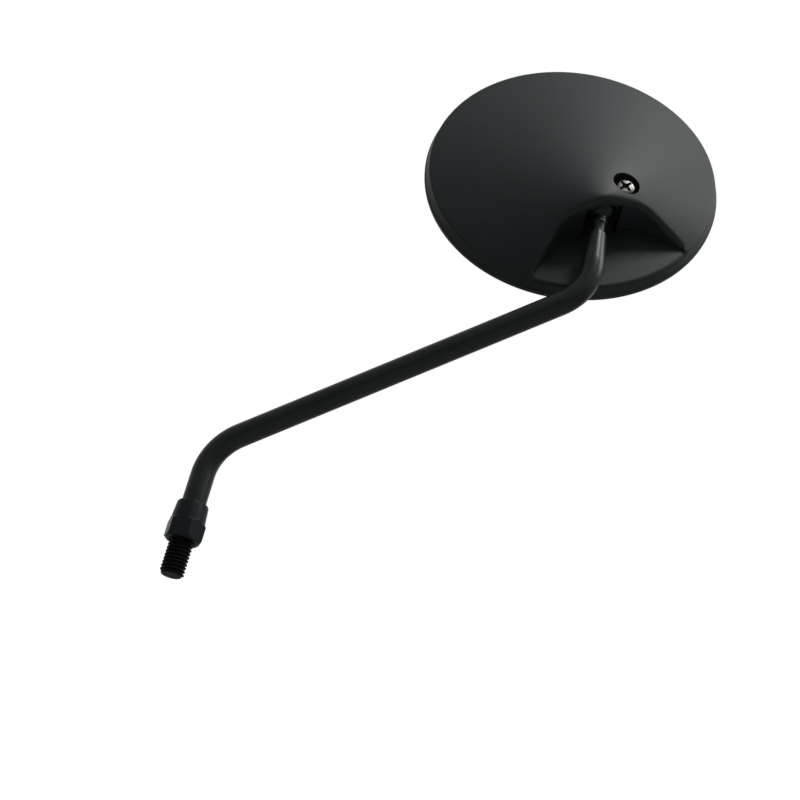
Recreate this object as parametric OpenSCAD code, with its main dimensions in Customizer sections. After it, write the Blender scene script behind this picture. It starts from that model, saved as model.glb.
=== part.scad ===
// Round motorcycle mirror on a bent stem with a ball end and a threaded stud.
// +Z runs up the stud's axis. The origin lies on that axis, in the face of the
// lock nut that bears on the handlebar's boss. The stem bends in the XZ plane.
// Pieces of the head are drawn in the head's own frame: the rim's front edge at
// z = 0, +z towards the back of the mirror, +y up, +x to the right seen from the back.

/* [Stem] */
// Diameter of the bent rod
rod_d = 10; // [9:0.5:12]
// Height of the lower corner above the nut's face
lower_corner = 42.7; // [36:0.5:60]
// Length of the straight run, corner to corner
link_len = 170.3; // [120:1:220]
// Angle between the straight run and the stud's axis
stem_bend = 59.5; // [45:0.5:70]
// Radius of both bends, on the rod's middle
bend_r = 22.5; // [16:0.5:26]
// Distance from the upper corner to the middle of the ball
upper_leg = 44.2; // [40:0.5:60]

/* [Stud and lock nut] */
// Outer diameter of the stud's thread
thread_d = 9.85; // [7.9:0.05:9.9]
// Length of stud that stands out below the lock nut
stud_len = 14.4; // [10:0.2:30]
// Length of thread that lies inside the lock nut
thread_in_nut = 9; // [7:0.5:10]
// Chamfer at the stud's end
stud_chamfer = 0.9; // [0.4:0.1:1.2]
// Width across the flats of the lock nut
nut_flats = 14; // [13:0.5:17]
// Height of the hexagon
nut_hex_h = 8.2; // [7.5:0.1:9]
// Overall height of the lock nut
nut_h = 16.3; // [14:0.1:20]
// Diameter at the top of the nut's tapered collar
nut_top_d = 12.9; // [12.6:0.1:13]
// Diameter of the collar where it meets the hexagon
nut_collar_d = 14.4; // [13.4:0.1:15]
// Slope of the chamfers at the corners of the hexagon
nut_chamfer_slope = 30; // [20:1:45]
// Diameter of the nut's face inside the chamfer
nut_face_d = 13.1; // [12.4:0.1:13.2]
// Angle of one corner of the hexagon from +X
nut_turn = 8; // [0:1:59]

/* [Ball end] */
// Diameter of the ball
ball_d = 11; // [10:0.5:12]
// Diameter of the neck under the ball
neck_d = 6; // [5:0.25:6.5]
// Diameter of the groove below the collar
groove_d = 5.2; // [4.5:0.1:5.6]
// Diameter of the small collar on the neck
collar_d = 6.8; // [6.4:0.1:7]
// Distance from the ball's middle to the collar
collar_from = 6.6; // [6:0.1:7]
// Width of the collar
collar_w = 1.6; // [1:0.1:1.8]
// Distance from the ball's middle to the end of the neck
neck_len = 8.7; // [8.5:0.1:9.4]
// Distance from the ball's middle to the thin end of the rod's taper
taper_from = 10.4; // [10:0.1:12]
// Diameter at the thin end of the taper
taper_d = 7.2; // [7:0.1:8]
// Length of the taper
taper_len = 18.5; // [12:0.5:20]

/* [Head] */
// Outer radius of the rim
rim_r = 67.5; // [66:0.5:75]
// Height of the shoulder where the rim meets the back
shoulder_z = 8; // [7.8:0.1:10]
// How far the shoulder lies inside the rim
shoulder_in = 2.3; // [1.5:0.1:2.6]
// Height of the cone of the back above the shoulder
back_rise = 23.8; // [21:0.1:26]
// Distance from the head's middle down to the tip of the back
tip_drop = 32; // [28:0.5:33]
// Roundness of the tip, as a share of the shoulder's radius
tip_round = 0.15; // [0.1:0.01:0.2]
// Wall of the housing
wall = 2.2; // [2:0.1:2.6]
// Distance from the head's middle down to the middle of the ball
ball_drop = 32.3; // [31:0.1:34]
// Distance from the head's middle across to the middle of the ball
ball_x = 1.3; // [0:0.1:2]
// Height of the ball's middle above the rim's front edge
ball_lift = 18; // [17.5:0.1:19]
// Turn of the head about the stem, out of the stem's plane
head_turn = 13.6; // [-30:0.1:30]
// Tip of the back upwards
head_tip = 2.5; // [0:0.1:6]
// Roll of the head in its own plane
head_roll = 23.9; // [-30:0.1:30]

/* [Stem pocket] */
// Height of the pocket's floor above the rim's front edge
floor_z = 7.6; // [7.4:0.1:7.8]
// Width of the pocket at its corners
pocket_w = 69.4; // [62:0.2:76]
// Distance from the head's middle down to the corners
pocket_low = 53.8; // [52:0.2:56]
// Distance from the head's middle down to the pocket's back wall
pocket_top = 35.3; // [34.5:0.1:37]
// Slope of the pocket's slanted sides
pocket_slope = 45.5; // [42:0.5:54]
// Radius of the crown of the back wall
crown_r = 78; // [60:1:90]
// Radius of the rounding between the crown and the sides
pocket_corner_r = 15; // [12:1:20]
// Width of the pocket's rounded lip
lip_w = 2.6; // [2:0.1:4]
// Depth of the rounded lip
lip_drop = 2.8; // [1:0.1:3]

/* [Clamp] */
// Place of the clamp screw, across from the head's middle
screw_x = 13.6; // [13:0.1:15]
// Place of the clamp screw, down from the head's middle
screw_drop = 26.1; // [25:0.1:28]
// Thread diameter of the clamp screw
screw_d = 5; // [4:0.5:5]
// Length of the clamp screw under its head
screw_len = 14.4; // [13.4:0.2:15]
// Diameter of the screw's head
screw_head_d = 8.8; // [8:0.1:9.4]
// Height of the screw's head
screw_head_h = 3.2; // [2.4:0.1:3.4]
// Diameter of the hole for the screw's head
well_d = 12.2; // [10.8:0.1:12.4]
// Height of the seat in that hole
well_z = 19.6; // [19:0.1:20]
// Diameter of the spring washer
washer_d = 8.6; // [8:0.1:9]
// Thickness of the spring washer
washer_h = 1.2; // [1:0.1:1.4]
// Thickness of the ball seats
seat_t = 1.4; // [1:0.1:1.6]
// Radius of the upper ball seat, seen along the clamp screw
upper_seat_r = 3.4; // [3:0.1:3.8]
// Radius of the lower ball seat, seen along the clamp screw
lower_seat_r = 4; // [3.6:0.1:4.2]
// Thickness of the clamp plate
plate_t = 2.2; // [2:0.1:2.6]
// Length of the clamp plate
plate_w = 38; // [36:0.5:40]
// Depth of the clamp plate
plate_h = 13; // [12:0.5:13.5]
// Radius of the plate's round nose under the ball
plate_nose_r = 6.4; // [5:0.1:7]
// Corner radius of the clamp plate
plate_corner_r = 4; // [2:0.5:6]
// Side of the square clamp nut
square_nut_w = 8; // [7:0.5:9]
// Height of the square clamp nut
square_nut_h = 4; // [3:0.2:4]

/* [Glass] */
// Thickness of the mirror glass
glass_t = 3; // [2:0.1:3]
// Radius of curvature of the convex glass
glass_curve_r = 1200; // [800:50:2000]
// Depth of the rim's front lip
lip_t = 1; // [0.8:0.1:1.2]
// How far the front lip reaches in over the gasket
lip_in = 1.5; // [1:0.1:2]
// Thickness of the gasket outside the glass
gasket_out = 1.1; // [0.8:0.1:1.4]
// Thickness of the gasket's two lips
gasket_lip = 0.8; // [0.6:0.1:1]
// How far the gasket's lips reach in over the glass
gasket_in = 1.4; // [1:0.1:2]
// Width of the backing pad
pad_w = 15.6; // [8:0.2:30]
// Gap between the backing pad and the gasket
pad_gap = 1; // [0.5:0.1:3]

/* [Ribs] */
// Thickness of the ribs inside the housing
rib_t = 1.6; // [1.2:0.1:2]
// Number of ribs that fan out from the ball's boss
rib_count = 5; // [3:1:7]
// Angle of the first rib from +x, and of the last rib from -x
rib_first = 25; // [15:1:40]
// Distance from the ball to the near end of the ribs
rib_start = 20; // [18:1:26]
// Radius of the round rib
round_rib_r = 40; // [34:1:46]

/* [Hidden] */
$fn = 96;
eps = 0.01;
run_clear = 0.05;

// Stem
tangent = bend_r * tan(stem_bend / 2);
upper_corner = [link_len * sin(stem_bend), 0, lower_corner + link_len * cos(stem_bend)];
ball_at = upper_corner + [0, 0, upper_leg];

// Back of the head: a slanted cone whose rings shrink towards the tip
shoulder_r = rim_r - shoulder_in;
ring_count = 10;
ring_sides = 72;
function ring_share(k) = pow(1 - k / (ring_count + 1), 1.5);
function rounded(t) = sqrt(t * t + tip_round * tip_round);
function back_height(t) = shoulder_z + back_rise * (rounded(1) - rounded(t));
function back_ring(t, inset) = [for (i = [0 : ring_sides - 1]) let (a = 360 * i / ring_sides)
    [(shoulder_r - inset) * t * cos(a), (shoulder_r - inset) * t * sin(a) - tip_drop * (1 - t),
     back_height(t) - inset]];

// Pocket plan: crown, rounded corner and slanted side, mirrored about x = 0
function arc(centre, r, from, to, steps) =
    [for (i = [0 : steps]) let (a = from + (to - from) * i / steps) centre + r * [cos(a), sin(a)]];
half_w = pocket_w / 2;
crown_centre = [0, -pocket_top - crown_r];
// The corner's arc touches the crown and the slanted side from inside
side_normal = [sin(pocket_slope), cos(pocket_slope)];
side_reach = [half_w, -pocket_low] * side_normal;
function corner_gap(a) = (crown_centre + (crown_r - pocket_corner_r) * [sin(a), cos(a)]) * side_normal
    + pocket_corner_r - side_reach;
function corner_angle(low, high, n) = n == 0 ? (low + high) / 2 :
    let (mid = (low + high) / 2)
    corner_gap(mid) < 0 ? corner_angle(mid, high, n - 1) : corner_angle(low, mid, n - 1);
crown_half = corner_angle(0, 45, 30);
corner_centre = crown_centre + (crown_r - pocket_corner_r) * [sin(crown_half), cos(crown_half)];
below_rim = rim_r + 10;
corner_point = [half_w, -pocket_low];
side_end = corner_centre + pocket_corner_r * side_normal;
function right_side(grow) = concat(
    [[half_w + grow, -below_rim], [half_w + grow, -pocket_low + grow * tan((90 - pocket_slope) / 2)]],
    [for (i = [1 : 3]) corner_point + (side_end - corner_point) * i / 4 + grow * side_normal],
    arc(corner_centre, pocket_corner_r + grow, 90 - pocket_slope, 90 - crown_half, 8),
    arc(crown_centre, crown_r + grow, 90 - crown_half, 90, 4));
function mirrored(side) = concat(side, [for (i = [len(side) - 2 : -1 : 0]) [-side[i][0], side[i][1]]]);
function pocket_plan(grow) = mirrored(right_side(grow));

// Height of the slanted cone over a point of the plan
function ring_through(p) = let (reach = shoulder_r * shoulder_r - tip_drop * tip_drop,
    along = -tip_drop * (p[1] + tip_drop))
    (along + sqrt(along * along + reach * (p[0] * p[0] + (p[1] + tip_drop) * (p[1] + tip_drop)))) / reach;
function back_over(p) = back_height(min(ring_through(p), 1));

// Ball seats and clamp
ball_in_head = [ball_x, -ball_drop, ball_lift];
seat_in_r = ball_d / 2 + run_clear;
seat_out_r = seat_in_r + seat_t;
socket_r = seat_out_r + run_clear;
boss_r = 12;
way_in_r = socket_r + 0.4;
relief_r = 8.8;
neck_clear = 0.3;
relief_top = ball_lift + seat_in_r * cos(asin(upper_seat_r / seat_in_r)) + neck_clear;
plate_top = ball_lift - sqrt(seat_out_r * seat_out_r - lower_seat_r * lower_seat_r) - 0.4;
plate_low = plate_top - plate_t;
plate_mid = [1, -26];
plate_gap = 0.5;
boss_low = plate_top + 1.4;
fulcrum_at = [-13, -26];
fulcrum_r = 3.2;
screw_at = [screw_x, -screw_drop];
screw_hole_d = screw_d + 0.5;
well_wall = 1.8;

// Glass and its seat in the rim
seat_bore_r = rim_r - wall - 0.2;
glass_r = seat_bore_r - gasket_out;
gasket_h = glass_t + 2 * gasket_lip;
shelf_z = lip_t + gasket_h;
tip_z = back_height(0);
through_h = 2 * tip_z;
shelf_r = seat_bore_r - 2.2;
glass_front_z = lip_t + gasket_lip;

module in_head() {
    translate(ball_at) rotate([90 - head_tip, 0, head_turn]) rotate([0, 0, head_roll])
        translate(-ball_in_head) children();
}

module elbow() {
    translate([bend_r, 0, 0]) rotate([90, 0, 180])
        rotate_extrude(angle = stem_bend) translate([bend_r, 0]) circle(d = rod_d);
}

module ball_end() {
    // Drawn downwards from the ball's middle
    sphere(d = ball_d);
    mirror([0, 0, 1]) {
        cylinder(h = neck_len, d = neck_d);
        translate([0, 0, collar_from]) cylinder(h = collar_w, d = collar_d);
        cylinder(h = taper_from + eps, d = groove_d);
        translate([0, 0, taper_from]) cylinder(h = 0.6, d1 = taper_d - 1.2, d2 = taper_d);
        translate([0, 0, taper_from + 0.6]) cylinder(h = taper_len, d1 = taper_d, d2 = rod_d);
        translate([0, 0, taper_from + 0.6 + taper_len])
            cylinder(h = upper_leg - tangent - taper_from - 0.6 - taper_len, d = rod_d);
    }
}

module stem() {
    color([0.07, 0.07, 0.08]) {
        translate([0, 0, -stud_len])
            cylinder(h = stud_chamfer, d1 = thread_d - 2 * stud_chamfer, d2 = thread_d);
        translate([0, 0, stud_chamfer - stud_len]) cylinder(h = stud_len - stud_chamfer, d = thread_d);
        // Shallow groove in the thread, under the nut
        translate([0, 0, -eps]) cylinder(h = 0.6 + 2 * eps, d = thread_d - 0.5);
        translate([0, 0, 0.6]) cylinder(h = thread_in_nut - 0.6, d = thread_d);
        translate([0, 0, thread_in_nut]) cylinder(h = lower_corner - tangent - thread_in_nut, d = rod_d);
        translate([0, 0, lower_corner - tangent]) elbow();
        translate([0, 0, lower_corner]) rotate([0, stem_bend, 0]) translate([0, 0, tangent])
            cylinder(h = link_len - 2 * tangent, d = rod_d);
        translate(upper_corner + [0, 0, tangent]) rotate([0, 180, 0]) elbow();
        translate(ball_at) ball_end();
    }
}

module lock_nut() {
    corner_d = nut_flats / cos(30);
    chamfer_h = (corner_d - nut_face_d) / 2 / tan(90 - nut_chamfer_slope) * 1.6;
    color([0.1, 0.12, 0.13]) difference() {
        union() {
            intersection() {
                rotate([0, 0, nut_turn]) cylinder(h = nut_hex_h, d = corner_d, $fn = 6);
                union() {
                    cylinder(h = chamfer_h, d1 = nut_face_d, d2 = corner_d);
                    translate([0, 0, chamfer_h])
                        cylinder(h = nut_hex_h - 2 * chamfer_h + 0.6, d = corner_d + 1);
                    translate([0, 0, nut_hex_h - chamfer_h + 0.6])
                        cylinder(h = chamfer_h, d1 = corner_d, d2 = nut_face_d);
                }
            }
            translate([0, 0, chamfer_h]) cylinder(h = nut_hex_h - chamfer_h, d = nut_face_d);
            translate([0, 0, nut_hex_h - 1])
                cylinder(h = nut_h - nut_hex_h + 0.5, d1 = nut_collar_d, d2 = nut_top_d);
            translate([0, 0, nut_h - 0.5]) cylinder(h = 0.5, d1 = nut_top_d, d2 = nut_top_d - 0.8);
        }
        translate([0, 0, -1]) cylinder(h = nut_h + 2, d = thread_d + 2 * run_clear);
        translate([0, 0, thread_in_nut - 0.5]) cylinder(h = nut_h, d = rod_d + 0.5);
        translate([0, 0, -eps]) cylinder(h = 0.8, d1 = thread_d + 1.6, d2 = thread_d);
        translate([0, 0, nut_h - 0.6]) cylinder(h = 0.6 + eps, d1 = rod_d + 0.5, d2 = rod_d + 1.5);
    }
}

// Closed solid of the cone of the back, inset by a wall
module back_solid(inset) {
    rings = [for (k = [0 : ring_count]) back_ring(ring_share(k), inset)];
    foot = [for (p = rings[0]) [p[0], p[1], lip_t + 2]];
    points = concat(foot, [for (ring = rings) each ring]);
    n = ring_sides;
    rows = ring_count + 2;
    sides = [for (k = [0 : rows - 2]) for (i = [0 : n - 1]) let (j = (i + 1) % n)
        each [[k * n + i, (k + 1) * n + j, k * n + j], [k * n + i, (k + 1) * n + i, (k + 1) * n + j]]];
    polyhedron(points, concat([[for (i = [0 : n - 1]) i]], sides,
        [[for (i = [n - 1 : -1 : 0]) (rows - 1) * n + i]]), convexity = 4);
}

module rim_profile() {
    polygon([[shelf_r - 2, 0], [rim_r - 0.8, 0], [rim_r - 0.2, 0.3], [rim_r, 0.9], [rim_r, 2.2],
             [rim_r - 0.3, 2.8], [shoulder_r + 0.5, shoulder_z - 1], [shoulder_r, shoulder_z - 0.2],
             [shoulder_r - 0.7, shoulder_z], [shelf_r - 2, shoulder_z]]);
}

module rim_inside() {
    polygon([[0, -1], [seat_bore_r - lip_in, -1], [seat_bore_r - lip_in, lip_t], [seat_bore_r, lip_t],
             [seat_bore_r, shelf_z], [0, shelf_z]]);
}

module outer_form() {
    rotate_extrude() rim_profile();
    back_solid(0);
}

// The pocket's space, widening at the top into a rounded lip that follows the cone
module lipped_pocket() {
    leans = [0, 15, 30, 45, 60, 75];
    foot = pocket_plan(0);
    n = len(foot);
    function lip_ring(lean) = let (plan = pocket_plan(lip_w * (1 - cos(lean))))
        [for (i = [0 : n - 1]) let (high = back_over(plan[i]), room = max(high - floor_z, 0.3))
            [plan[i][0], plan[i][1], high - min(lip_drop, room * 0.6) * (1 - sin(lean))]];
    rings = concat([[for (p = foot) [p[0], p[1], floor_z]]], [for (lean = leans) lip_ring(lean)],
        [[for (p = pocket_plan(lip_w)) [p[0], p[1], back_over(p) + 0.25]]],
        [[for (p = pocket_plan(lip_w)) [p[0], p[1], through_h]]]);
    rows = len(rings);
    sides = [for (k = [0 : rows - 2]) for (i = [0 : n - 1]) let (j = (i + 1) % n)
        each [[k * n + i, (k + 1) * n + j, k * n + j], [k * n + i, (k + 1) * n + i, (k + 1) * n + j]]];
    polyhedron([for (ring = rings) each ring], concat([[for (i = [0 : n - 1]) i]], sides,
        [[for (i = [n - 1 : -1 : 0]) (rows - 1) * n + i]]), convexity = 6);
}

module pocket_space(grow, low) {
    translate([0, 0, low]) linear_extrude(height = through_h) polygon(pocket_plan(grow));
}

module pocket_floor() {
    intersection() {
        translate([0, 0, shelf_z]) linear_extrude(height = floor_z - shelf_z) polygon(pocket_plan(wall));
        cylinder(h = through_h, r = shelf_r + 1);
    }
}

module clamp_bosses() {
    translate([ball_x, -ball_drop, boss_low]) cylinder(h = through_h, r = boss_r);
    translate([screw_at[0], screw_at[1], boss_low]) cylinder(h = through_h, d = well_d + 2 * well_wall);
    translate([fulcrum_at[0], fulcrum_at[1], plate_top]) cylinder(h = through_h, r = fulcrum_r);
}

module ribs() {
    for (i = [0 : rib_count - 1])
        translate([ball_x, -ball_drop, shelf_z])
            rotate([0, 0, rib_first + i * (180 - 2 * rib_first) / (rib_count - 1)])
                translate([rib_start, -rib_t / 2, 0]) cube([2 * rim_r, rib_t, through_h]);
    translate([0, 0, shelf_z]) difference() {
        cylinder(h = through_h, r = round_rib_r + rib_t / 2);
        translate([0, 0, -1]) cylinder(h = through_h + 2, r = round_rib_r - rib_t / 2);
        translate([-rim_r, -2 * rim_r - ball_drop + rib_start / 2, -1])
            cube([2 * rim_r, 2 * rim_r, through_h + 2]);
    }
}

module plate_outline(grow) {
    r = plate_corner_r;
    w = plate_w + 2 * grow;
    h = plate_h + 2 * grow;
    translate(plate_mid) union() {
        square([w - 2 * r, h], center = true);
        square([w, h - 2 * r], center = true);
        for (x = [-1, 1]) for (y = [-1, 1]) translate([x * (w / 2 - r), y * (h / 2 - r)]) circle(r = r);
    }
    translate([ball_x, -ball_drop]) circle(r = plate_nose_r + grow);
}

// Way in for the ball and its seats from the glass side, and room for the neck
module ball_room() {
    translate(ball_in_head) sphere(r = socket_r);
    translate([ball_x, -ball_drop, shelf_z]) {
        cylinder(h = ball_lift - shelf_z, r = way_in_r);
        intersection() {
            cylinder(h = relief_top - shelf_z, r = relief_r);
            translate([-relief_r, -2 * relief_r, 0])
                cube([2 * relief_r, 2 * relief_r, relief_top - shelf_z]);
        }
    }
}

module housing() {
    color([0.16, 0.17, 0.17]) in_head() difference() {
        union() {
            difference() {
                outer_form();
                back_solid(wall);
                rotate_extrude() rim_inside();
            }
            pocket_floor();
            intersection() {
                back_solid(wall / 2);
                union() {
                    pocket_space(wall, shelf_z);
                    clamp_bosses();
                    ribs();
                }
            }
        }
        lipped_pocket();
        // Room for the clamp plate, open to the glass side
        translate([0, 0, shelf_z - 1])
            linear_extrude(height = plate_top - shelf_z + 1) plate_outline(plate_gap);
        ball_room();
        translate([screw_at[0], screw_at[1], 0]) cylinder(h = through_h, d = screw_hole_d);
        translate([screw_at[0], screw_at[1], well_z]) cylinder(h = through_h, d = well_d);
    }
}

module ball_seat(r, side) {
    in_head() translate(ball_in_head) mirror([0, 0, side]) intersection() {
        difference() {
            sphere(r = seat_out_r);
            sphere(r = seat_in_r);
        }
        cylinder(h = ball_d, r = r);
    }
}

module ball_seat_upper() {
    color([0.75, 0.74, 0.7]) ball_seat(upper_seat_r, 0);
}

module ball_seat_lower() {
    color([0.75, 0.74, 0.7]) ball_seat(lower_seat_r, 1);
}

module clamp_plate() {
    color([0.55, 0.56, 0.58]) in_head() difference() {
        union() {
            translate([0, 0, plate_low]) linear_extrude(height = plate_t) plate_outline(0);
            intersection() {
                translate(ball_in_head) sphere(r = socket_r + plate_t);
                translate([ball_x, -ball_drop, 0]) cylinder(h = plate_low + eps, r = boss_r);
            }
        }
        translate(ball_in_head) sphere(r = socket_r);
        translate([screw_at[0], screw_at[1], 0]) cylinder(h = through_h, d = screw_hole_d);
    }
}

module clamp_screw() {
    recess_w = 1.1;
    color([0.62, 0.6, 0.57]) in_head() translate([screw_at[0], screw_at[1], well_z + washer_h]) {
        difference() {
            union() {
                cylinder(h = screw_head_h * 0.55, d = screw_head_d);
                translate([0, 0, screw_head_h * 0.55])
                    cylinder(h = screw_head_h * 0.45, d1 = screw_head_d, d2 = screw_head_d * 0.62);
            }
            for (a = [0, 90]) rotate([0, 0, a + 20])
                translate([-screw_head_d * 0.27, -recess_w / 2, screw_head_h * 0.4])
                    cube([screw_head_d * 0.54, recess_w, screw_head_h]);
        }
        translate([0, 0, -screw_len]) cylinder(h = screw_len, d = screw_d);
    }
}

module spring_washer() {
    color([0.5, 0.5, 0.5]) in_head() translate([screw_at[0], screw_at[1], well_z]) difference() {
        cylinder(h = washer_h, d = washer_d);
        translate([0, 0, -1]) cylinder(h = washer_h + 2, d = screw_d + 0.3);
        rotate([0, 0, 200]) translate([0, -0.5, -1]) cube([washer_d, 1, washer_h + 2]);
    }
}

module clamp_nut() {
    half = square_nut_w / 2;
    color([0.6, 0.58, 0.5]) in_head() translate([screw_at[0], screw_at[1], plate_low - square_nut_h])
        difference() {
            translate([-half, -half, 0]) cube([square_nut_w, square_nut_w, square_nut_h]);
            translate([0, 0, -1]) cylinder(h = square_nut_h + 2, d = screw_d + 0.1);
        }
}

// Depth of the convex glass at a radius, less at the rim than in the middle
function bulge(r) = -(glass_r * glass_r - r * r) / (2 * glass_curve_r);

module mirror_glass() {
    steps = 8;
    front = [for (i = [0 : steps]) let (r = glass_r * i / steps) [r, glass_front_z + bulge(r)]];
    back = [for (i = [steps : -1 : 0]) let (r = glass_r * i / steps)
        [r, glass_front_z + glass_t + bulge(r)]];
    color([0.75, 0.8, 0.84]) in_head() rotate_extrude() polygon(concat(front, back));
}

module glass_gasket() {
    color([0.05, 0.05, 0.05]) in_head() rotate_extrude() difference() {
        translate([glass_r - gasket_in, lip_t]) square([gasket_out + gasket_in, gasket_h]);
        translate([0, lip_t + gasket_lip - 0.1]) square([glass_r + 0.03, glass_t + 0.15]);
    }
}

module backing_pad() {
    steps = 4;
    pad_outer_r = glass_r - gasket_in - pad_gap;
    pad_inner_r = pad_outer_r - pad_w;
    face = [for (i = [0 : steps]) let (r = pad_inner_r + (pad_outer_r - pad_inner_r) * i / steps)
        [r, glass_front_z + glass_t + bulge(r) + 0.06]];
    color([0.2, 0.2, 0.2]) in_head()
        rotate_extrude() polygon(concat(face, [[pad_outer_r, shelf_z], [pad_inner_r, shelf_z]]));
}

stem();
lock_nut();
housing();
ball_seat_upper();
ball_seat_lower();
clamp_plate();
clamp_screw();
spring_washer();
clamp_nut();
mirror_glass();
glass_gasket();
backing_pad();
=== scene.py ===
# Round motorcycle mirror on a bent stem: its visual model, materials and photo scene.
# Sizes are millimetres up to place(), which turns them into the frame's metres.
# Pieces of the head are made in the head's own frame: the rim's front edge at z = 0,
# +z towards the back of the mirror, +y up, +x to the right seen from the back.
import math

import bmesh
import bpy
import numpy as np
from mathutils import Matrix, Vector


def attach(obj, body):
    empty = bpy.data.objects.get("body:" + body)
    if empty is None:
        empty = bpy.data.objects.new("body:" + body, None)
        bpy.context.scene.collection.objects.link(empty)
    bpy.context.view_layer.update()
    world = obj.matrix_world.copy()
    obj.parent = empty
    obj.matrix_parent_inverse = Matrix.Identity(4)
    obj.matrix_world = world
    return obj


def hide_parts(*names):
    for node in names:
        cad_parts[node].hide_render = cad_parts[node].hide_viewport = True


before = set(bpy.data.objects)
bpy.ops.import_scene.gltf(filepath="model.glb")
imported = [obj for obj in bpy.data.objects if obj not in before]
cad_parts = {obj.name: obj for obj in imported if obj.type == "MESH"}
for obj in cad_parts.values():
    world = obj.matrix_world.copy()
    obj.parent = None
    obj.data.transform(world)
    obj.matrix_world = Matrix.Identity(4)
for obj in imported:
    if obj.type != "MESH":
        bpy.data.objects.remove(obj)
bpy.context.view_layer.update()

# Metres in a millimetre
MM = 0.001

# Stem
ROD_R = 5.0
ROD_SIDES = 72
THREAD_R = 4.925
THREAD_PITCH = 1.5
THREAD_DEPTH = 0.9
THREAD_EASE = 0.02
STUD_LEN = 14.4
STUD_CHAMFER = 0.9
THREAD_TOP = 8.6
SHANK_R = 3.8
COLLAR_R = 4.7
ROD_FROM = 9.0
ROD_EDGE = 0.2
LOWER_CORNER = 42.7
LINK_LEN = 170.3
UPPER_LEG = 44.2
BEND = math.radians(59.5)
BEND_R = 22.5
BEND_ROWS = 28
TANGENT = BEND_R * math.tan(BEND / 2)
BALL_R = 5.5
BALL_FOOT_LEAN = -0.93
UPPER_CORNER = Vector((LINK_LEN * math.sin(BEND), 0, LOWER_CORNER + LINK_LEN * math.cos(BEND)))
BALL_AT = UPPER_CORNER + Vector((0, 0, UPPER_LEG))

# Lock nut
NUT_FLATS = 14.0
NUT_HEX_H = 8.2
NUT_H = 16.3
NUT_TURN = 8.0
NUT_SIDES = 216
NUT_BORE_R = THREAD_R + 0.07
NUT_FOOT_R = 6.55
NUT_CREST_R = 7.2
NUT_CHAMFER = 1.08
NUT_COLLAR_R = 6.45
NUT_TAPER = 0.0735

# Head
RIM_R = 67.48
SHOULDER_R = 65.2
SHOULDER_Z = 8.0
DOME_RISE = 23.8
TIP_DROP = 32.0
TIP_ROUND = 0.15
WALL = 2.2
LIP_T = 1.0
SEAT_BORE_R = 65.1
SHELF_Z = 5.6
SHELF_R = 62.9
FLOOR_Z = 7.6
HOLLOW_SHARE = 0.97
ABOVE_HEAD = 60
BALL_IN_HEAD = Vector((1.3, -32.3, 18))
HEAD_TURN = math.radians(13.6)
HEAD_TIP = math.radians(2.5)
HEAD_ROLL = math.radians(23.9)

# Stem pocket
POCKET_HALF = 34.7
POCKET_LOW = 53.8
POCKET_TOP = 35.3
POCKET_SLOPE = math.radians(45.5)
CROWN_R = 78.0
CORNER_R = 15.0
LIP_W = 2.6
LIP_DROP = 2.8
DOME_ROW_SPREAD = 1.35

# Bosses and ribs inside the housing
BOSS_FOOT = 13.3
BALL_BOSS_R = 12
SCREW_BOSS_WALL = 1.8
FULCRUM_AT = (-13, -26)
FULCRUM_R = 3.2
FULCRUM_FOOT = 11.9
RIBS = 5
RIB_FIRST_DEG = 25
RIB_STEP_DEG = 32.5
RIB_HALF = 0.8
RIB_FROM = 20

# Clamp
SCREW_AT = Vector((13.6, -26.1, 0))
WELL_R = 6.1
WELL_Z = 19.6
SCREW_SEAT = 20.8
SCREW_HEAD_R = 4.4
SCREW_HEAD_H = 3.2
SCREW_LEN = 14.4
SCREW_R = 2.5
SCREW_HOLE_R = 2.75
RECESS_HALF_LEN = 3.1
RECESS_HALF_W = 0.65
RECESS_DEPTH = 1.9
RECESS_TURN_DEG = 20
SOCKET_R = 7.0
WAY_IN_R = 7.4
RELIEF_R = 8.8
RELIEF_TOP = 22.7
SCREW_DOME_IN = 1.7
SCREW_DOME_H = 1.5
SCREW_DOME_DROP = 0.15
# How far a cutting tool starts in front of the face that it opens
CUT_OVER = 2

# Glass
GLASS_R = 64.0
GLASS_T = 3.0
GLASS_CURVE_R = 1200.0
GLASS_FRONT_Z = 1.8
GASKET_IN = 1.4
GASKET_H = 4.6
GASKET_LIP = 0.75
GASKET_SIDE = 0.2

# Camera, in metres
CAMERA_AT = Vector((0.2024, -0.3761, -0.1427))
CAMERA_RIGHT = Vector((0.9579, 0.2098, 0.196))
CAMERA_AHEAD = Vector((-0.28, 0.8344, 0.475))
CAMERA_LENS = 49.5

# Floor and lamps, in metres and watts
FLOOR_HALF = 20.0
FLOOR_DEPTH = -0.45
# Strength that makes the floor pale where the camera or a gloss sees it
FLOOR_GLOW = 0.35
WORLD_SEEN = 1.0
WORLD_LIGHT = 0.1
LAMPS_AIM = (0.147, 0.0, 0.173)
KEY_AT = (0.539, -0.392, 0.917)
KEY_SIDE = 0.26
KEY_POWER = 11
EDGE_AT = (0.900, -0.020, 0.720)
EDGE_SIDE = 0.45
EDGE_POWER = 7

HEAD = (
    Matrix.Translation(BALL_AT)
    @ Matrix.Rotation(HEAD_TURN, 4, "Z")
    @ Matrix.Rotation(math.pi / 2 - HEAD_TIP, 4, "X")
    @ Matrix.Rotation(HEAD_ROLL, 4, "Z")
    @ Matrix.Translation(-BALL_IN_HEAD)
)
WORLD = Matrix.Identity(4)


# Meshes

def grid_mesh(rows, closed_rows=False):
    """Vertices and quads of a grid of closed loops; closed_rows joins the last row to the first."""
    rows = np.asarray(rows, float)
    count, width = rows.shape[:2]
    faces = []
    last = count if closed_rows else count - 1
    for r in range(last):
        up = (r + 1) % count
        for c in range(width):
            side = (c + 1) % width
            faces.append((r * width + c, r * width + side, up * width + side, up * width + c))
    return rows.reshape(-1, 3), faces


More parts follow.
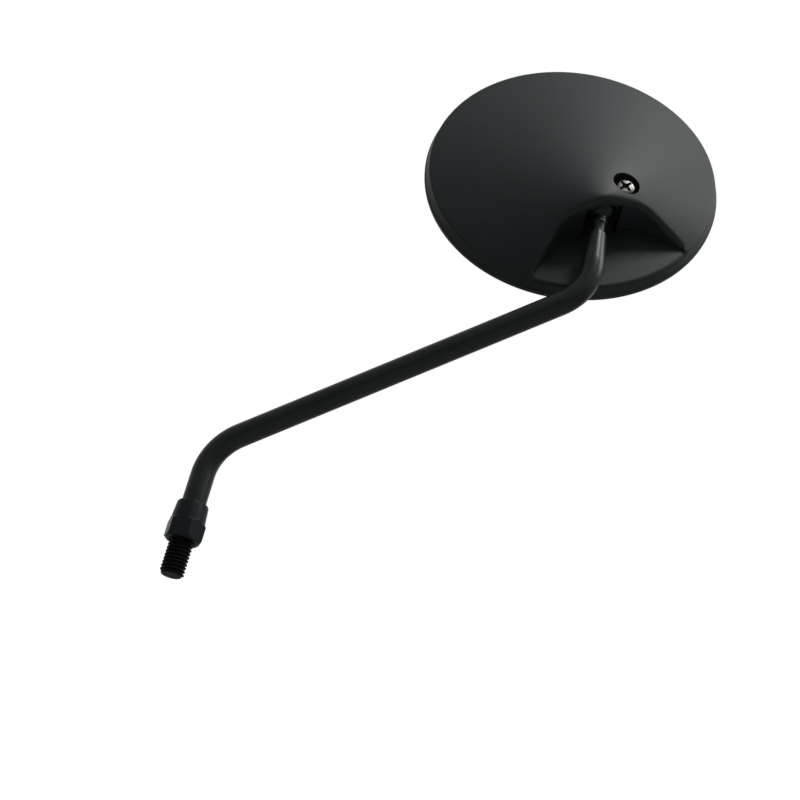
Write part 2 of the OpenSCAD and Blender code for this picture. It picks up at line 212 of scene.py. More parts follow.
def open_grid_faces(count, width):
    """Quads of a grid of open rows."""
    faces = []
    for r in range(count - 1):
        for c in range(width - 1):
            low = r * width + c
            faces.append((low, low + 1, low + width + 1, low + width))
    return faces


def raw_object(name, vertices, faces):
    """An object of a mesh whose loose ends are joined and whose faces all look outwards."""
    mesh = bpy.data.meshes.new(name)
    mesh.from_pydata([tuple(v) for v in vertices], [], [tuple(f) for f in faces])
    tidy = bmesh.new()
    tidy.from_mesh(mesh)
    bmesh.ops.remove_doubles(tidy, verts=tidy.verts, dist=1e-4)
    bmesh.ops.recalc_face_normals(tidy, faces=tidy.faces)
    tidy.to_mesh(mesh)
    tidy.free()
    obj = bpy.data.objects.new(name, mesh)
    bpy.context.scene.collection.objects.link(obj)
    return obj


def combine(obj, tool, operation):
    """Cuts, joins or intersects obj with the tool, which is used up."""
    step = obj.modifiers.new("step", "BOOLEAN")
    step.operation = operation
    step.solver = "EXACT"
    step.object = tool
    bpy.context.view_layer.update()
    view = bpy.context.evaluated_depsgraph_get()
    mesh = bpy.data.meshes.new_from_object(obj.evaluated_get(view))
    obj.modifiers.clear()
    old = obj.data
    obj.data = mesh
    bpy.data.meshes.remove(old)
    bpy.data.objects.remove(tool)


def cut(obj, tool):
    combine(obj, tool, "DIFFERENCE")


def smooth(mesh, sharp_deg=32):
    """Smooth shading, with edges sharper than an angle kept crisp."""
    work = bmesh.new()
    work.from_mesh(mesh)
    limit = math.radians(sharp_deg)
    for edge in work.edges:
        edge.smooth = len(edge.link_faces) == 2 and edge.calc_face_angle(0) < limit
    for face in work.faces:
        face.smooth = True
    work.to_mesh(mesh)
    work.free()


def place(obj, matrix, body, material, stands_for):
    """Puts a mesh made in millimetres into the frame and lets it ride on its body."""
    obj.data.transform(Matrix.Scale(MM, 4) @ matrix)
    smooth(obj.data)
    obj.data.materials.clear()
    obj.data.materials.append(material)
    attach(obj, body)
    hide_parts(*stands_for)
    return obj


def circle(radius, z, count):
    turn = np.linspace(0, 2 * math.pi, count, endpoint=False)
    return np.stack([radius * np.cos(turn), radius * np.sin(turn), np.full(count, z)], 1)


def lathe(name, profile, count=128, closed=False):
    """A body of revolution about z from a profile of (radius, z) points; radius 0 at an end closes it."""
    rows = [circle(radius, z, count) for radius, z in profile]
    return raw_object(name, *grid_mesh(rows, closed))


def block(name, low, high, matrix=WORLD):
    sides = list(zip(low, high))
    corners = [(x, y, z) for x in sides[0] for y in sides[1] for z in sides[2]]
    faces = [(0, 1, 3, 2), (4, 6, 7, 5), (0, 4, 5, 1), (2, 3, 7, 6), (0, 2, 6, 4), (1, 5, 7, 3)]
    obj = raw_object(name, corners, faces)
    obj.data.transform(matrix)
    return obj


def cylinder(name, radius, low, high, at=(0, 0), count=96):
    obj = lathe(name, [(0, low), (radius, low), (radius, high), (0, high)], count)
    obj.data.transform(Matrix.Translation((at[0], at[1], 0)))
    return obj


def ball(name, radius, at, count=96):
    turns = np.linspace(-math.pi / 2, math.pi / 2, count // 2)
    obj = lathe(name, [(radius * math.cos(a), radius * math.sin(a)) for a in turns], count)
    obj.data.transform(Matrix.Translation(at))
    return obj


def prism(name, outline, low, high):
    """A flat outline drawn up from one height to another."""
    count = len(outline)
    vertices = [(x, y, low) for x, y in outline] + [(x, y, high) for x, y in outline]
    faces = [tuple(range(count)), tuple(range(2 * count - 1, count - 1, -1))]
    faces += [(k, (k + 1) % count, count + (k + 1) % count, count + k) for k in range(count)]
    return raw_object(name, vertices, faces)


# Materials

def surface(name, dark, light, rough_low, rough_high, grain, bump=0.0, metallic=0.0, level=0.5):
    """A finish whose colour drifts with soft noise and whose roughness and relief follow a fine grain."""
    material = bpy.data.materials.new(name)
    material.use_nodes = True
    tree = material.node_tree
    shader = tree.nodes["Principled BSDF"]
    shader.inputs["Metallic"].default_value = metallic
    shader.inputs["Specular IOR Level"].default_value = level
    place_node = tree.nodes.new("ShaderNodeTexCoord")
    drift = tree.nodes.new("ShaderNodeTexNoise")
    drift.inputs["Scale"].default_value = grain * 0.08
    drift.inputs["Detail"].default_value = 3
    colour = tree.nodes.new("ShaderNodeMix")
    colour.data_type = "RGBA"
    colour.inputs[6].default_value = (*dark, 1)
    colour.inputs[7].default_value = (*light, 1)
    tree.links.new(place_node.outputs["Object"], drift.inputs["Vector"])
    tree.links.new(drift.outputs["Fac"], colour.inputs[0])
    tree.links.new(colour.outputs[2], shader.inputs["Base Color"])
    speck = tree.nodes.new("ShaderNodeTexNoise")
    speck.inputs["Scale"].default_value = grain
    speck.inputs["Detail"].default_value = 4
    tree.links.new(place_node.outputs["Object"], speck.inputs["Vector"])
    rough = tree.nodes.new("ShaderNodeMapRange")
    rough.inputs["To Min"].default_value = rough_low
    rough.inputs["To Max"].default_value = rough_high
    tree.links.new(speck.outputs["Fac"], rough.inputs["Value"])
    tree.links.new(rough.outputs["Result"], shader.inputs["Roughness"])
    if bump:
        relief = tree.nodes.new("ShaderNodeBump")
        relief.inputs["Strength"].default_value = bump
        relief.inputs["Distance"].default_value = 0.0002
        tree.links.new(speck.outputs["Fac"], relief.inputs["Height"])
        tree.links.new(relief.outputs["Normal"], shader.inputs["Normal"])
    return material


MATERIALS = {
    "housing": surface(
        "housing_black", (0.008, 0.011, 0.011), (0.011, 0.0145, 0.0145), 0.46, 0.54,
        grain=1500, bump=0.1, level=0.09,
    ),
    "stem": surface(
        "stem_black", (0.004, 0.006, 0.006), (0.007, 0.009, 0.009), 0.30, 0.36,
        grain=900, bump=0.05, level=0.1,
    ),
    "stud": surface(
        "stud_oxide", (0.002, 0.002, 0.002), (0.004, 0.004, 0.004), 0.45, 0.55,
        grain=900, bump=0.1, level=0.03,
    ),
    "nut": surface(
        "nut_black", (0.003, 0.005, 0.006), (0.005, 0.008, 0.010), 0.34, 0.42,
        grain=900, bump=0.08, level=0.06,
    ),
    "seat": surface(
        "seat_black", (0.010, 0.010, 0.010), (0.014, 0.014, 0.014), 0.5, 0.6,
        grain=800, level=0.1,
    ),
    "plate": surface(
        "plate_black", (0.008, 0.008, 0.009), (0.012, 0.012, 0.013), 0.4, 0.5,
        grain=800, level=0.1,
    ),
    "screw": surface(
        "screw_plated", (0.05, 0.048, 0.045), (0.09, 0.086, 0.08), 0.30, 0.42,
        grain=700, bump=0.1, metallic=1.0,
    ),
    "mirror": surface(
        "mirror_silver", (0.86, 0.88, 0.89), (0.88, 0.90, 0.91), 0.01, 0.02,
        grain=60, metallic=1.0,
    ),
    "gasket": surface(
        "gasket_rubber", (0.012, 0.012, 0.012), (0.018, 0.018, 0.018), 0.7, 0.8,
        grain=900, bump=0.1,
    ),
}


# Stem

def stem_point(s):
    """Point and lean of the stem's middle line at a length s along it from z = 0."""
    first = LOWER_CORNER - TANGENT
    arc = BEND_R * BEND
    link = LINK_LEN - 2 * TANGENT
    if s <= first:
        return Vector((0, 0, s)), 0.0
    if s <= first + arc:
        lean = (s - first) / BEND_R
        return Vector((BEND_R * (1 - math.cos(lean)), 0, first + BEND_R * math.sin(lean))), lean
    if s <= first + arc + link:
        along = s - first - arc + TANGENT
        ahead = Vector((math.sin(BEND), 0, math.cos(BEND)))
        return Vector((0, 0, LOWER_CORNER)) + along * ahead, BEND
    if s <= first + 2 * arc + link:
        lean = BEND - (s - first - arc - link) / BEND_R
        centre = UPPER_CORNER + Vector((-BEND_R, 0, TANGENT))
        return centre + BEND_R * Vector((math.cos(lean), 0, -math.sin(lean))), lean
    along = s - first - 2 * arc - link + TANGENT
    return UPPER_CORNER + Vector((0, 0, along)), 0.0


STEM_LEN = LOWER_CORNER + LINK_LEN + UPPER_LEG - 4 * TANGENT + 2 * BEND_R * BEND


def stem_profile():
    """(distance along the stem, radius) from the foot of the rod to the top of the ball."""
    arc = BEND_R * BEND
    first = LOWER_CORNER - TANGENT
    second = first + arc + LINK_LEN - 2 * TANGENT
    bend_steps = arc * np.arange(1, BEND_ROWS + 1) / BEND_ROWS
    rows = [(THREAD_TOP, SHANK_R), (THREAD_TOP, COLLAR_R), (ROD_FROM, COLLAR_R)]
    rows += [(ROD_FROM, ROD_R - ROD_EDGE), (ROD_FROM + ROD_EDGE, ROD_R)]
    rows += [(s, ROD_R) for s in np.linspace(ROD_FROM + 3 * ROD_EDGE, first, 8)]
    rows += [(s, ROD_R) for s in first + bend_steps]
    rows += [(s, ROD_R) for s in np.linspace(first + arc + 1, second, 30)]
    rows += [(s, ROD_R) for s in second + bend_steps]
    # Taper, neck and groove, as drops below the ball's middle
    below_ball = [
        (30.5, 5.0), (29.5, 4.985), (28.0, 4.90), (20.0, 4.26), (14.6, 3.84), (13.9, 3.78), (13.6, 3.66),
        (13.4, 3.35), (13.3, 3.0), (13.2, 2.86), (8.9, 2.8), (8.7, 2.9), (8.5, 3.0),
        (8.3, 3.02), (8.2, 3.3), (8.1, 3.4), (6.7, 3.4), (6.6, 3.3), (6.5, 3.02), (5.2, 3.0),
    ]
    rows += [(STEM_LEN - drop, radius) for drop, radius in below_ball]
    for turn in np.linspace(BALL_FOOT_LEAN, math.pi / 2, 40):
        rows.append((STEM_LEN + BALL_R * math.sin(turn), max(BALL_R * math.cos(turn), 0.0)))
    return rows


def stem_rings():
    rings = []
    for s, radius in stem_profile():
        centre, lean = stem_point(float(s))
        across = Vector((math.cos(lean), 0, -math.sin(lean)))
        ring = []
        for k in range(ROD_SIDES):
            turn = 2 * math.pi * k / ROD_SIDES
            outwards = math.cos(turn) * across + math.sin(turn) * Vector((0, 1, 0))
            ring.append(centre + float(radius) * outwards)
        rings.append(ring)
    return rings


def thread_rings():
    """Rows that climb with the helix, so that every crest and root is an edge of the mesh."""
    # Share of the pitch and share of the thread's height
    one_turn = [
        (0.0, 1.0), (0.06, 1.0), (0.125, 0.94), (0.44, 0.05),
        (0.5, 0.0), (0.62, 0.0), (0.68, 0.05), (0.995, 0.94),
    ]
    per_turn = len(one_turn)
    turns = int((STUD_LEN + THREAD_TOP) / THREAD_PITCH) + 3
    rows = []
    for k in range(turns * per_turn):
        share, height = one_turn[k % per_turn]
        ring = []
        for c in range(ROD_SIDES + 1):
            z = (k // per_turn + share + c / ROD_SIDES - 1.5) * THREAD_PITCH - STUD_LEN
            z = min(max(z, -STUD_LEN), THREAD_TOP)
            chamfer = THREAD_R - STUD_CHAMFER - THREAD_EASE + (z + STUD_LEN)
            radius = min(THREAD_R - THREAD_DEPTH * (1 - height), chamfer)
            turn = 2 * math.pi * c / ROD_SIDES
            ring.append((radius * math.cos(turn), radius * math.sin(turn), z))
        rows.append(ring)
    return rows


def thread_mesh():
    rows = thread_rings()
    vertices = [v for row in rows for v in row]
    return vertices, open_grid_faces(len(rows), len(rows[0]))


def make_stem():
    vertices, faces = thread_mesh()
    start = len(vertices)
    rod_vertices, rod_faces = grid_mesh(stem_rings())
    vertices = list(vertices) + [tuple(v) for v in rod_vertices]
    faces += [tuple(start + i for i in f) for f in rod_faces]
    # The end of the stud
    start = len(vertices)
    vertices += [tuple(v) for v in circle(THREAD_R - STUD_CHAMFER, -STUD_LEN, ROD_SIDES)]
    faces.append(tuple(reversed(range(start, start + ROD_SIDES))))
    obj = raw_object("bent_stem", vertices, faces)
    place(obj, WORLD, "stem", MATERIALS["stem"], ["stem"])
    # The stud is left bare of paint
    obj.data.materials.append(MATERIALS["stud"])
    for face in obj.data.polygons:
        if face.center.z < THREAD_TOP * MM:
            face.material_index = 1
    return obj


# Lock nut

def soft_least(values, rounding=0.05):
    """The least of several sizes, with the change from one to the next rounded."""
    values = np.asarray(values)
    least = values.min(0)
    return least - rounding * np.log(np.exp(-(values - least) / rounding).sum(0))


def nut_outer(z, turn):
    """Radius of the hexagon's outside at a height and an angle, with its corners chamfered."""
    corner_r = NUT_FLATS / math.sqrt(3)
    around = (turn - math.radians(NUT_TURN)) % (math.pi / 3) - math.pi / 6
    flat = NUT_FLATS / 2 / np.cos(around)
    bottom = NUT_FOOT_R + z * NUT_CHAMFER
    top = NUT_CREST_R + (NUT_HEX_H - z) * NUT_CHAMFER
    limits = [np.full_like(turn, size) for size in (bottom, top, corner_r)]
    return soft_least([flat, *limits])


def make_nut():
    turn = np.linspace(0, 2 * math.pi, NUT_SIDES, endpoint=False)

    def ring(radius, z):
        radius = np.broadcast_to(radius, turn.shape)
        return np.stack([radius * np.cos(turn), radius * np.sin(turn), np.full(NUT_SIDES, z)], 1)

    hexagon_rows = [
        0.03, 0.1, 0.25, 0.5, 0.8, 1.1, 1.3, 1.45, 1.6, 1.9, 2.6, 4.1,
        6.0, 6.7, 6.95, 7.1, 7.25, 7.45, 7.65, 7.85, 8.02, 8.12, 8.18,
    ]
    collar_rows = [9.0, 12.0, 15.0, 15.6]
    foot = [(NUT_BORE_R, 0.75), (5.6, 0.12), (5.72, 0.02), (5.85, 0.0), (6.4, 0.0)]
    step = [(7.15, NUT_HEX_H), (7.08, 8.22), (7.03, 8.3), (7.0, 8.45)]
    collar_top = [
        (6.44, 15.85), (6.38, 16.05), (6.25, 16.2), (6.1, 16.28), (6.0, NUT_H),
        (5.75, NUT_H), (5.68, 16.25), (5.3, 15.75), (5.26, 15.6), (5.25, 8.55), (NUT_BORE_R, 8.5),
    ]
    rows = [ring(radius, z) for radius, z in foot]
    rows += [ring(nut_outer(z, turn), z) for z in hexagon_rows]
    rows += [ring(radius, z) for radius, z in step]
    rows += [ring(NUT_COLLAR_R + (NUT_H - z) * NUT_TAPER, z) for z in collar_rows]
    rows += [ring(radius, z) for radius, z in collar_top]
    obj = raw_object("lock_nut_body", *grid_mesh(rows, True))
    return place(obj, WORLD, "nut", MATERIALS["nut"], ["lock_nut"])


# Housing

def dome_height(x, y):
    """Height of the slanted cone of the back over a point of the plan."""
    reach = SHOULDER_R**2 - TIP_DROP**2
    along = -TIP_DROP * (y + TIP_DROP)
    share = (along + np.sqrt(along**2 + reach * (x**2 + (y + TIP_DROP) ** 2))) / reach
    tip = math.sqrt(1 + TIP_ROUND**2)
    return SHOULDER_Z + DOME_RISE * (tip - np.sqrt(share**2 + TIP_ROUND**2))


def crown_half():
    """Half the angle of the crown's arc, found by halving, where the corner's arc meets crown and side."""
    normal = np.array([math.sin(POCKET_SLOPE), math.cos(POCKET_SLOPE)])
    reach = POCKET_HALF * normal[0] - POCKET_LOW * normal[1]
    centre = np.array([0, -POCKET_TOP - CROWN_R])
    low, high = 0.0, math.radians(45)
    for _ in range(40):
        mid = (low + high) / 2
        inner = centre + (CROWN_R - CORNER_R) * np.array([math.sin(mid), math.cos(mid)])
        if inner @ normal + CORNER_R - reach < 0:
            low = mid
        else:
            high = mid
    return (low + high) / 2


def pocket_side(grow=0.0):
    """Points and outward normals of the pocket's right side, from the corner up to the crown's middle."""
    half = crown_half()
    crown_centre = np.array([0, -POCKET_TOP - CROWN_R])
    corner_centre = crown_centre + (CROWN_R - CORNER_R) * np.array([math.sin(half), math.cos(half)])
    normal = np.array([math.sin(POCKET_SLOPE), math.cos(POCKET_SLOPE)])
    foot = np.array([POCKET_HALF, -POCKET_LOW])
    shoulder = corner_centre + CORNER_R * normal
    points, normals = [], []
    for share in np.linspace(0, 1, 30, endpoint=False):
        points.append(foot + (shoulder - foot) * share)
        normals.append(normal)
    for lean in np.linspace(POCKET_SLOPE, half, 24, endpoint=False):
        normals.append(np.array([math.sin(lean), math.cos(lean)]))
        points.append(corner_centre + CORNER_R * normals[-1])
    for lean in np.linspace(half, 0, 13):
        normals.append(np.array([math.sin(lean), math.cos(lean)]))
        points.append(crown_centre + CROWN_R * normals[-1])
    points, normals = np.array(points), np.array(normals)
    return points + grow * normals, normals


def pocket_outline(grow=0.0):
    """Points and normals of the whole upper outline, from the right corner to the left one."""
    points, normals = pocket_side(grow)
    flip = np.array([-1, 1])
    points = np.concatenate([points, (points * flip)[-2::-1]])
    normals = np.concatenate([normals, (normals * flip)[-2::-1]])
    return points, normals


def evenly(points, values, count):
    """The values at a number of points spread evenly by length along the outline."""
    steps = np.linalg.norm(np.diff(points, axis=0), axis=1)
    length = np.concatenate([[0], np.cumsum(steps)])
    at = np.linspace(0, length[-1], count)
    return np.stack([np.interp(at, length, values[:, k]) for k in range(values.shape[1])], 1)


# The rim's section from the shoulder outwards, round the front and back in to the glass's seat
RIM_SECTION = [
    (64.95, 8.06), (65.25, 7.93), (65.5, 7.68), (65.66, 7.35), (65.78, 6.9), (66.0, 6.1), (66.6, 4.1),
    (66.95, 3.05), (67.1, 2.85), (67.3, 2.65), (67.42, 2.4), (RIM_R, 2.1), (RIM_R, 0.9), (67.42, 0.55),
    (67.25, 0.25), (67.0, 0.06), (66.7, 0.0), (63.95, 0.0), (63.75, 0.08), (63.62, 0.25), (63.6, 0.4),
    (63.6, LIP_T), (SEAT_BORE_R, LIP_T), (SEAT_BORE_R, SHELF_Z), (SHELF_R, SHELF_Z),
]
# The same section where the pocket's floor meets the rim
FLOOR_SECTION = [(64.45, FLOOR_Z - 0.02), (64.85, 7.50), (65.2, 7.34), (65.5, 7.10), (65.76, 6.75)]
FLOOR_SECTION += RIM_SECTION[5:]


def housing_skin():
    """The whole outside of the housing as one closed skin, filled inside down to the shelf."""
    edge_r = math.hypot(POCKET_HALF, POCKET_LOW)
    right = math.atan2(-POCKET_LOW, POCKET_HALF)
    left = math.pi - right
    upper_count, lower_count = 280, 64
    points, normals = pocket_outline()
    foot = evenly(points, points, upper_count)
    normal = evenly(points, normals, upper_count)
    normal /= np.linalg.norm(normal, axis=1)[:, None]
    turn = np.linspace(right, left, upper_count)
    edge = edge_r * np.stack([np.cos(turn), np.sin(turn)], 1)
    room = np.linalg.norm(edge - foot, axis=1)
    narrow = np.minimum(1, room / (2 * LIP_W))[:, None]
    wall_h = np.maximum(dome_height(foot[:, 0], foot[:, 1]) - FLOOR_Z, 0)
    shallow = np.minimum(1, wall_h * 0.6 / LIP_DROP)
    rows = [np.column_stack([foot, np.full(upper_count, FLOOR_Z)])]
    for lean in np.linspace(0, math.pi / 2, 11):
        out = LIP_W * (1 - math.cos(lean))
        plan = foot + normal * out * narrow
        drop = LIP_DROP * (1 - math.sin(lean)) * shallow
        rows.append(np.column_stack([plan, dome_height(plan[:, 0], plan[:, 1]) - drop]))
    inner = foot + normal * LIP_W * narrow
    for share in np.linspace(0, 1, 60)[1:]:
        plan = inner + (edge - inner) * share**DOME_ROW_SPREAD
        rows.append(np.column_stack([plan, dome_height(plan[:, 0], plan[:, 1])]))
    vertices = [v for row in rows for v in row]
    faces = open_grid_faces(len(rows), upper_count)
    # Rim: its first ring is the dome's last row and the floor's lower edge
    top_start = (len(rows) - 1) * upper_count
    low_turn = np.linspace(left, right + 2 * math.pi, lower_count + 2)[1:-1]
    floor_start = len(vertices)
    vertices += [(edge_r * math.cos(a), edge_r * math.sin(a), FLOOR_Z) for a in low_turn]
    ring = list(range(top_start, top_start + upper_count))
    ring += list(range(floor_start, floor_start + lower_count))
    all_turns = np.concatenate([turn, low_turn])
    is_floor = np.concatenate([np.zeros(upper_count), np.ones(lower_count)])
    for upper, lower in zip(RIM_SECTION, FLOOR_SECTION):
        start = len(vertices)
        for a, floor in zip(all_turns, is_floor):
            radius, z = lower if floor else upper
            vertices.append((radius * math.cos(a), radius * math.sin(a), z))
        new = list(range(start, start + len(all_turns)))
        for k in range(len(ring)):
            side = (k + 1) % len(ring)
            faces.append((ring[k], ring[side], new[side], new[k]))
        ring = new
    faces.append(tuple(reversed(ring)))
    floor_ring = list(range(floor_start, floor_start + lower_count))
    faces.append(tuple(range(upper_count)) + tuple(floor_ring))
    faces.append((upper_count - 1, top_start + upper_count - 1, floor_ring[0]))
    faces.append((0, floor_ring[-1], top_start))
    return raw_object("housing_shell", vertices, faces)


def grown_pocket(grow):
    points, _ = pocket_outline(grow)
    low = -RIM_R - 10
    return [(points[0][0], low)] + [tuple(p) for p in points] + [(points[-1][0], low)]


def hollow():
    """The room inside the housing, between the ribs and the bosses."""
    rows = []
    for share in 1 - np.linspace(0, HOLLOW_SHARE, 36):
        ring = circle((SHOULDER_R - WALL) * share, 0, 120)
        ring[:, 1] -= TIP_DROP * (1 - share)
        height = SHOULDER_Z + DOME_RISE * (math.hypot(1, TIP_ROUND) - math.hypot(share, TIP_ROUND))
        ring[:, 2] = height - WALL
        rows.append(ring)
    foot = rows[0].copy()
    foot[:, 2] = SHELF_Z - 1
    rows = [foot] + rows
    vertices, faces = grid_mesh(rows)
    count = len(foot)
    faces += [tuple(reversed(range(count))), tuple(range(len(vertices) - count, len(vertices)))]
    room = raw_object("hollow", vertices, faces)
    cut(room, prism("pocket_block", grown_pocket(WALL), 0, ABOVE_HEAD))
    cut(room, cylinder("ball_boss", BALL_BOSS_R, BOSS_FOOT, ABOVE_HEAD, BALL_IN_HEAD))
    cut(room, cylinder("screw_boss", WELL_R + SCREW_BOSS_WALL, BOSS_FOOT, ABOVE_HEAD, SCREW_AT))
    cut(room, cylinder("fulcrum", FULCRUM_R, FULCRUM_FOOT, ABOVE_HEAD, FULCRUM_AT))
    over_ball = Matrix.Translation((BALL_IN_HEAD.x, BALL_IN_HEAD.y, 0))
    for k in range(RIBS):
        turn = Matrix.Rotation(math.radians(RIB_FIRST_DEG + k * RIB_STEP_DEG), 4, "Z")
        low = (RIB_FROM, -RIB_HALF, 0)
        high = (2 * RIM_R, RIB_HALF, ABOVE_HEAD)
        cut(room, block("rib", low, high, over_ball @ turn))
    return room


def make_housing():
    shell = housing_skin()
    cut(shell, hollow())
    foot = SHELF_Z - CUT_OVER
    cut(shell, cylinder("way_in", WAY_IN_R, foot, BALL_IN_HEAD.z, BALL_IN_HEAD))
    # The relief for the neck is only on the pocket's side of the ball
    relief = cylinder("relief", RELIEF_R, foot, RELIEF_TOP, BALL_IN_HEAD)
    reach = 2 * RELIEF_R
    over_ball = Matrix.Translation((BALL_IN_HEAD.x, BALL_IN_HEAD.y, 0))
    pocket_half = block("pocket_half", (-reach, -reach, 0), (reach, 0, ABOVE_HEAD), over_ball)
    combine(relief, pocket_half, "INTERSECT")
    cut(shell, relief)
    cut(shell, ball("socket", SOCKET_R, BALL_IN_HEAD))
    cut(shell, cylinder("screw_hole", SCREW_HOLE_R, foot, ABOVE_HEAD, SCREW_AT, 48))
    cut(shell, cylinder("well", WELL_R, WELL_Z, ABOVE_HEAD, SCREW_AT))
    return place(shell, HEAD, "head", MATERIALS["housing"], ["housing"])


# Clamp screw

def make_screw():
    top = SCREW_SEAT + SCREW_HEAD_H
    tip = SCREW_SEAT - SCREW_LEN
    profile = [
        (0, tip), (SCREW_R - 0.4, tip), (SCREW_R, tip + 0.4), (SCREW_R, SCREW_SEAT - 0.1),
        (SCREW_R + 0.1, SCREW_SEAT), (SCREW_HEAD_R - 0.2, SCREW_SEAT), (SCREW_HEAD_R, SCREW_SEAT + 0.2),
    ]
    for lean in np.linspace(0, math.pi / 2, 16):
        radius = SCREW_HEAD_R - SCREW_DOME_IN * (1 - math.cos(lean))
        drop = SCREW_DOME_H * (1 - math.sin(lean)) + SCREW_DOME_DROP
        profile.append((radius, top - drop))
    profile += [(1.6, top - 0.05), (0, top)]
    screw = lathe("clamp_screw_body", profile, 96)
    for turn in (RECESS_TURN_DEG, RECESS_TURN_DEG + 90):
        matrix = Matrix.Rotation(math.radians(turn), 4, "Z")
        low = (-RECESS_HALF_LEN, -RECESS_HALF_W, top - RECESS_DEPTH)
        high = (RECESS_HALF_LEN, RECESS_HALF_W, top + 1)
        cut(screw, block("recess", low, high, matrix))
    cone = [(0, top - 2.4), (0.6, top - 2.2), (1.45, top - 0.2), (1.7, top + 1), (0, top + 1)]
    cut(screw, lathe("recess_cone", cone, 48))
    matrix = HEAD @ Matrix.Translation(SCREW_AT)
    return place(screw, matrix, "head", MATERIALS["screw"], ["clamp_screw"])


# Glass

def bulge(radius):
    """Height of the curved glass at a radius, from its edge."""
    return -(GLASS_R**2 - radius**2) / (2 * GLASS_CURVE_R)


def make_glass():
    front = [(r, GLASS_FRONT_Z + bulge(r)) for r in np.linspace(0, GLASS_R - 0.3, 24)]
    back = [(r, GLASS_FRONT_Z + GLASS_T + bulge(r)) for r in np.linspace(GLASS_R - 0.3, 0, 24)]
    edge = [(GLASS_R, GLASS_FRONT_Z + 0.3), (GLASS_R, GLASS_FRONT_Z + GLASS_T - 0.3)]
    obj = lathe("convex_glass", front + edge + back, 180)
    place(obj, HEAD, "head", MATERIALS["mirror"], ["mirror_glass"])
    # The silvering is painted black behind, so the back of the glass shines no light into the housing
    obj.data.materials.append(MATERIALS["gasket"])
    backwards = HEAD.to_3x3() @ Vector((0, 0, 1))
    for face in obj.data.polygons:
        if face.normal.dot(backwards) > 0.5:
            face.material_index = 1
    return obj


def make_gasket():
    inner = GLASS_R - GASKET_IN
    side = inner + GASKET_SIDE
    bore = GLASS_R + 0.02
    outer = SEAT_BORE_R - 0.02
    low = LIP_T
    top = LIP_T + GASKET_H
    profile = [
        (inner + 0.3, low), (outer, low), (outer, top), (inner + 0.3, top),
        (inner, top - 0.2), (inner, top - 0.5), (side, top - GASKET_LIP), (bore, top - GASKET_LIP),
        (bore, low + GASKET_LIP), (side, low + GASKET_LIP), (inner, low + 0.5), (inner, low + 0.2),
    ]
    obj = lathe("glass_gasket_ring", profile, 180, True)
    return place(obj, HEAD, "head", MATERIALS["gasket"], ["glass_gasket"])


def dress_cad_nodes():
    """Inner pieces are shown as the CAD has them, with their own finishes."""
    slots = {
        "ball_seat_upper": "seat",
        "ball_seat_lower": "seat",
        "clamp_plate": "plate",
        "spring_washer": "screw",
        "clamp_nut": "screw",
        "backing_pad": "gasket",
    }
    for name, slot in slots.items():
        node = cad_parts[name]
        smooth(node.data)
        node.data.materials.clear()
        node.data.materials.append(MATERIALS[slot])


# Photo scene

def soft_lamp(name, at, side, power):
    lamp = bpy.data.lights.new(name, "AREA")
    lamp.shape = "SQUARE"
    lamp.size = side
    lamp.energy = power
    obj = bpy.data.objects.new(name, lamp)
    bpy.context.scene.collection.objects.link(obj)
    obj.location = at
    obj.rotation_mode = "QUATERNION"
    obj.rotation_quaternion = (Vector(LAMPS_AIM) - Vector(at)).to_track_quat("-Z", "Y")


def make_camera():
    camera = bpy.data.cameras.new("photo_camera")
    camera.lens = CAMERA_LENS
    camera.sensor_width = 36
    camera.clip_start = 0.01
    camera.clip_end = 50
    obj = bpy.data.objects.new("photo_camera", camera)
    bpy.context.scene.collection.objects.link(obj)
    ahead = CAMERA_AHEAD.normalized()
    right = (CAMERA_RIGHT - CAMERA_RIGHT.dot(ahead) * ahead).normalized()
    up = right.cross(ahead)
    obj.matrix_world = Matrix.Translation(CAMERA_AT) @ Matrix((right, up, -ahead)).transposed().to_4x4()
    bpy.context.scene.camera = obj


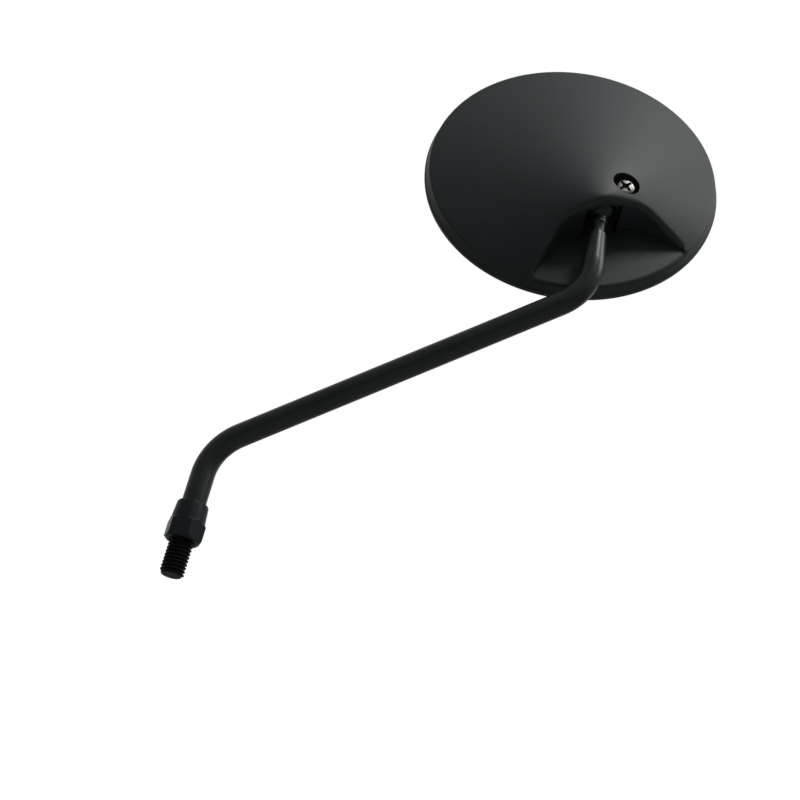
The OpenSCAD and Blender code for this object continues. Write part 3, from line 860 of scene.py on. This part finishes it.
def white_when_seen(tree, seen_strength, light_strength):
    """One strength for camera, glossy and transmission rays, and another for the light it casts."""
    path = tree.nodes.new("ShaderNodeLightPath")
    either = tree.nodes.new("ShaderNodeMath")
    either.operation = "MAXIMUM"
    both = tree.nodes.new("ShaderNodeMath")
    both.operation = "MAXIMUM"
    tree.links.new(path.outputs["Is Camera Ray"], either.inputs[0])
    tree.links.new(path.outputs["Is Glossy Ray"], either.inputs[1])
    tree.links.new(either.outputs[0], both.inputs[0])
    tree.links.new(path.outputs["Is Transmission Ray"], both.inputs[1])
    strength = tree.nodes.new("ShaderNodeMapRange")
    strength.inputs["To Min"].default_value = light_strength
    strength.inputs["To Max"].default_value = seen_strength
    tree.links.new(both.outputs[0], strength.inputs["Value"])
    return strength.outputs["Result"]


def make_world():
    world = bpy.data.worlds.new("studio")
    bpy.context.scene.world = world
    world.use_nodes = True
    tree = world.node_tree
    background = tree.nodes["Background"]
    background.inputs["Color"].default_value = (1, 1, 1, 1)
    strength = white_when_seen(tree, WORLD_SEEN, WORLD_LIGHT)
    tree.links.new(strength, background.inputs["Strength"])


def make_floor():
    material = surface("floor_white", (0.80, 0.80, 0.80), (0.82, 0.82, 0.82), 0.8, 0.9, 4)
    shader = material.node_tree.nodes["Principled BSDF"]
    shader.inputs["Emission Color"].default_value = (1, 1, 1, 1)
    seen = white_when_seen(material.node_tree, FLOOR_GLOW, 0.0)
    material.node_tree.links.new(seen, shader.inputs["Emission Strength"])
    half = FLOOR_HALF
    corners = [(x, y, FLOOR_DEPTH) for x, y in ((-half, -half), (half, -half), (half, half), (-half, half))]
    mesh = bpy.data.meshes.new("floor")
    mesh.from_pydata(corners, [], [(0, 1, 2, 3)])
    mesh.materials.append(material)
    obj = bpy.data.objects.new("floor", mesh)
    bpy.context.scene.collection.objects.link(obj)


make_stem()
make_nut()
make_housing()
make_screw()
make_glass()
make_gasket()
dress_cad_nodes()
make_camera()
make_world()
make_floor()
soft_lamp("key_upper_right", KEY_AT, KEY_SIDE, KEY_POWER)
soft_lamp("edge_right", EDGE_AT, EDGE_SIDE, EDGE_POWER)
bpy.context.scene.view_settings.view_transform = "Standard"
